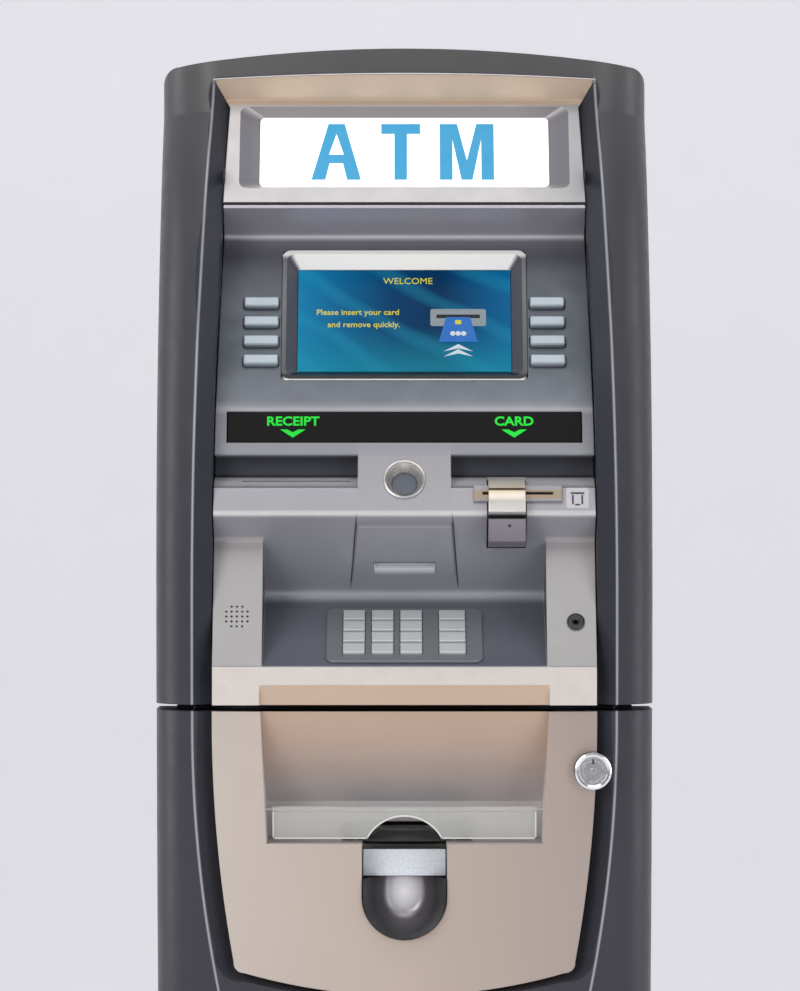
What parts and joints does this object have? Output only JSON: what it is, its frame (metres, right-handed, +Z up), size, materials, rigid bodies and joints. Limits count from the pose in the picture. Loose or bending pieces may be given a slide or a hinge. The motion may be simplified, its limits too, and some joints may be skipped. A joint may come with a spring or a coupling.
{
  "type": "cash machine",
  "caption": "Free-standing cash machine: a steel safe with a moulded cover and cash tray, and a hinged head with a lit sign, screen, side keys, card slot, receipt slot and keypad.",
  "frame": {"origin": "on the floor, at the middle of the machine's outline", "axes": "+Z up, the customer's side faces -Y, +X is to the customer's right"},
  "size_m": [0.405, 0.5686, 1.418],
  "materials": {
    "safe_steel": "dark grey powder coat",
    "cabinet_steel": "dark grey powder coat",
    "shell_dark": "fine-textured dark grey moulding",
    "door_steel": "grey powder coat",
    "zinc_steel": "zinc-plated sheet",
    "silver_panel": "metallic silver paint",
    "tray_metal": "metallic silver paint",
    "bezel_plastic": "satin grey moulding",
    "sign_white": "lit opal acrylic",
    "light_box": "white moulding",
    "screen_glass": "lit display",
    "strip_black": "gloss black",
    "camera_dark": "dark window in a satin ring",
    "lamp_opal": "lit diffuser",
    "keypad_metal": "brushed steel",
    "key_metal": "brushed steel",
    "soft_keys": "metallic silver paint",
    "card_trim": "metallic silver paint",
    "reader_black": "black moulding",
    "paper": "white thermal paper",
    "speaker_black": "black cone and frame",
    "jack_metal": "nickel ring",
    "lock_chrome": "polished",
    "handle_black": "black enamel",
    "guard_clear": "clear acrylic",
    "cassette_grey": "grey moulding",
    "rubber_roller": "rubber rollers on a steel shaft",
    "supply_case": "plain sheet case",
    "board_green": "solder-resist green"
  },
  "bodies": {
    "cabinet": {"safe_body": "safe_steel", "head_cabinet": "cabinet_steel", "dispenser_frame": "zinc_steel", "note_cassette": "cassette_grey", "power_supply": "supply_case", "control_board": "board_green"},
    "head_door": {"head_shell": "shell_dark", "head_door_frame": "zinc_steel", "fascia_panel": "silver_panel", "sign_frame": "silver_panel", "sign_lens": "sign_white", "sign_lightbox": "light_box", "screen_bezel": "bezel_plastic", "lcd_module": "screen_glass", "guide_strip": "strip_black", "camera_port": "camera_dark", "keypad_lamp": "lamp_opal", "keypad_plate": "keypad_metal", "card_bezel": "card_trim", "card_reader": "reader_black", "receipt_printer": "reader_black", "speaker": "speaker_black", "headphone_jack": "jack_metal"},
    "lower_cover": {"lower_shell": "shell_dark", "front_shield": "silver_panel", "cash_tray": "tray_metal", "cover_lock_barrel": "lock_chrome"},
    "vault_door": {"vault_door": "door_steel"},
    "note_guard": {"note_guard": "guard_clear"},
    "cover_lock_plug": {"cover_lock_plug": "lock_chrome"},
    "head_lock": {"head_lock": "lock_chrome"},
    "lock_bolts": {"lock_bolts": "zinc_steel"},
    "bolt_handle": {"bolt_handle": "handle_black"},
    "lock_dial": {"lock_dial": "handle_black"},
    "paper_roll": {"paper_roll": "paper"},
    "feed_rollers": {"feed_rollers": "rubber_roller"},
    "screen_key_left_1": {"screen_key_left_1": "soft_keys"},
    "screen_key_left_2": {"screen_key_left_2": "soft_keys"},
    "screen_key_left_3": {"screen_key_left_3": "soft_keys"},
    "screen_key_left_4": {"screen_key_left_4": "soft_keys"},
    "screen_key_right_1": {"screen_key_right_1": "soft_keys"},
    "screen_key_right_2": {"screen_key_right_2": "soft_keys"},
    "screen_key_right_3": {"screen_key_right_3": "soft_keys"},
    "screen_key_right_4": {"screen_key_right_4": "soft_keys"},
    "key_1": {"key_1": "key_metal"},
    "key_2": {"key_2": "key_metal"},
    "key_3": {"key_3": "key_metal"},
    "key_cancel": {"key_cancel": "key_metal"},
    "key_4": {"key_4": "key_metal"},
    "key_5": {"key_5": "key_metal"},
    "key_6": {"key_6": "key_metal"},
    "key_clear": {"key_clear": "key_metal"},
    "key_7": {"key_7": "key_metal"},
    "key_8": {"key_8": "key_metal"},
    "key_9": {"key_9": "key_metal"},
    "key_enter": {"key_enter": "key_metal"},
    "key_left": {"key_left": "key_metal"},
    "key_0": {"key_0": "key_metal"},
    "key_right": {"key_right": "key_metal"},
    "key_blank": {"key_blank": "key_metal"}
  },
  "joints": [
    {"name": "head_door_hinge", "type": "hinge", "parent": "cabinet", "child": "head_door", "pos_m": [-0.195, -0.062, 1.13], "axis": [0, 0, 1], "range_deg": [-100, 0]},
    {"name": "vault_door_hinge", "type": "hinge", "parent": "cabinet", "child": "vault_door", "pos_m": [-0.195, -0.164, 0.44], "axis": [0, 0, 1], "range_deg": [-90, 0]},
    {"name": "lower_cover_hinge", "type": "hinge", "parent": "vault_door", "child": "lower_cover", "pos_m": [-0.195, -0.164, 0.44], "axis": [0, 0, 1], "range_deg": [-62, 0]},
    {"name": "note_guard_hinge", "type": "hinge", "parent": "lower_cover", "child": "note_guard", "pos_m": [0, -0.26, 0.792], "axis": [1, 0, 0], "range_deg": [0, 60]},
    {"name": "cover_lock_turn", "type": "hinge", "parent": "lower_cover", "child": "cover_lock_plug", "pos_m": [0.152, -0.27, 0.824], "axis": [0, -1, 0], "range_deg": [-90, 0]},
    {"name": "head_lock_turn", "type": "hinge", "parent": "head_door", "child": "head_lock", "pos_m": [0.19, -0.095, 1.11], "axis": [1, 0, 0], "range_deg": [0, 90]},
    {"name": "lock_bolts_slide", "type": "slide", "parent": "vault_door", "child": "lock_bolts", "axis": [1, 0, 0], "range_m": [0, 0.018]},
    {"name": "bolt_handle_turn", "type": "hinge", "parent": "vault_door", "child": "bolt_handle", "pos_m": [0.06, -0.16, 0.5], "axis": [0, -1, 0], "range_deg": [0, 90]},
    {"name": "lock_dial_turn", "type": "hinge", "parent": "vault_door", "child": "lock_dial", "pos_m": [0.06, -0.16, 0.61], "axis": [0, -1, 0], "continuous": true},
    {"name": "paper_roll_spin", "type": "hinge", "parent": "head_door", "child": "paper_roll", "pos_m": [-0.093, -0.14, 1.086], "axis": [1, 0, 0], "continuous": true},
    {"name": "feed_rollers_spin", "type": "hinge", "parent": "cabinet", "child": "feed_rollers", "pos_m": [0, 0.02, 0.7], "axis": [1, 0, 0], "continuous": true},
    {"name": "screen_key_left_1_press", "type": "slide", "parent": "head_door", "child": "screen_key_left_1", "axis": [0, 0.866, -0.5], "range_m": [0, 0.0015], "stiffness_N_per_m": 400, "springref_m": -0.001},
    {"name": "screen_key_left_2_press", "type": "slide", "parent": "head_door", "child": "screen_key_left_2", "axis": [0, 0.866, -0.5], "range_m": [0, 0.0015], "stiffness_N_per_m": 400, "springref_m": -0.001},
    {"name": "screen_key_left_3_press", "type": "slide", "parent": "head_door", "child": "screen_key_left_3", "axis": [0, 0.866, -0.5], "range_m": [0, 0.0015], "stiffness_N_per_m": 400, "springref_m": -0.001},
    {"name": "screen_key_left_4_press", "type": "slide", "parent": "head_door", "child": "screen_key_left_4", "axis": [0, 0.866, -0.5], "range_m": [0, 0.0015], "stiffness_N_per_m": 400, "springref_m": -0.001},
    {"name": "screen_key_right_1_press", "type": "slide", "parent": "head_door", "child": "screen_key_right_1", "axis": [0, 0.866, -0.5], "range_m": [0, 0.0015], "stiffness_N_per_m": 400, "springref_m": -0.001},
    {"name": "screen_key_right_2_press", "type": "slide", "parent": "head_door", "child": "screen_key_right_2", "axis": [0, 0.866, -0.5], "range_m": [0, 0.0015], "stiffness_N_per_m": 400, "springref_m": -0.001},
    {"name": "screen_key_right_3_press", "type": "slide", "parent": "head_door", "child": "screen_key_right_3", "axis": [0, 0.866, -0.5], "range_m": [0, 0.0015], "stiffness_N_per_m": 400, "springref_m": -0.001},
    {"name": "screen_key_right_4_press", "type": "slide", "parent": "head_door", "child": "screen_key_right_4", "axis": [0, 0.866, -0.5], "range_m": [0, 0.0015], "stiffness_N_per_m": 400, "springref_m": -0.001},
    {"name": "key_1_press", "type": "slide", "parent": "head_door", "child": "key_1", "axis": [0, 0.4864, -0.8737], "range_m": [0, 0.002], "stiffness_N_per_m": 400, "springref_m": -0.001},
    {"name": "key_2_press", "type": "slide", "parent": "head_door", "child": "key_2", "axis": [0, 0.4864, -0.8737], "range_m": [0, 0.002], "stiffness_N_per_m": 400, "springref_m": -0.001},
    {"name": "key_3_press", "type": "slide", "parent": "head_door", "child": "key_3", "axis": [0, 0.4864, -0.8737], "range_m": [0, 0.002], "stiffness_N_per_m": 400, "springref_m": -0.001},
    {"name": "key_cancel_press", "type": "slide", "parent": "head_door", "child": "key_cancel", "axis": [0, 0.4864, -0.8737], "range_m": [0, 0.002], "stiffness_N_per_m": 400, "springref_m": -0.001},
    {"name": "key_4_press", "type": "slide", "parent": "head_door", "child": "key_4", "axis": [0, 0.4864, -0.8737], "range_m": [0, 0.002], "stiffness_N_per_m": 400, "springref_m": -0.001},
    {"name": "key_5_press", "type": "slide", "parent": "head_door", "child": "key_5", "axis": [0, 0.4864, -0.8737], "range_m": [0, 0.002], "stiffness_N_per_m": 400, "springref_m": -0.001},
    {"name": "key_6_press", "type": "slide", "parent": "head_door", "child": "key_6", "axis": [0, 0.4864, -0.8737], "range_m": [0, 0.002], "stiffness_N_per_m": 400, "springref_m": -0.001},
    {"name": "key_clear_press", "type": "slide", "parent": "head_door", "child": "key_clear", "axis": [0, 0.4864, -0.8737], "range_m": [0, 0.002], "stiffness_N_per_m": 400, "springref_m": -0.001},
    {"name": "key_7_press", "type": "slide", "parent": "head_door", "child": "key_7", "axis": [0, 0.4864, -0.8737], "range_m": [0, 0.002], "stiffness_N_per_m": 400, "springref_m": -0.001},
    {"name": "key_8_press", "type": "slide", "parent": "head_door", "child": "key_8", "axis": [0, 0.4864, -0.8737], "range_m": [0, 0.002], "stiffness_N_per_m": 400, "springref_m": -0.001},
    {"name": "key_9_press", "type": "slide", "parent": "head_door", "child": "key_9", "axis": [0, 0.4864, -0.8737], "range_m": [0, 0.002], "stiffness_N_per_m": 400, "springref_m": -0.001},
    {"name": "key_enter_press", "type": "slide", "parent": "head_door", "child": "key_enter", "axis": [0, 0.4864, -0.8737], "range_m": [0, 0.002], "stiffness_N_per_m": 400, "springref_m": -0.001},
    {"name": "key_left_press", "type": "slide", "parent": "head_door", "child": "key_left", "axis": [0, 0.4864, -0.8737], "range_m": [0, 0.002], "stiffness_N_per_m": 400, "springref_m": -0.001},
    {"name": "key_0_press", "type": "slide", "parent": "head_door", "child": "key_0", "axis": [0, 0.4864, -0.8737], "range_m": [0, 0.002], "stiffness_N_per_m": 400, "springref_m": -0.001},
    {"name": "key_right_press", "type": "slide", "parent": "head_door", "child": "key_right", "axis": [0, 0.4864, -0.8737], "range_m": [0, 0.002], "stiffness_N_per_m": 400, "springref_m": -0.001},
    {"name": "key_blank_press", "type": "slide", "parent": "head_door", "child": "key_blank", "axis": [0, 0.4864, -0.8737], "range_m": [0, 0.002], "stiffness_N_per_m": 400, "springref_m": -0.001}
  ],
  "couplings": [
    {"joint": "bolt_handle_turn", "follows": "lock_bolts_slide", "rad_per_m": 87.26}
  ]
}
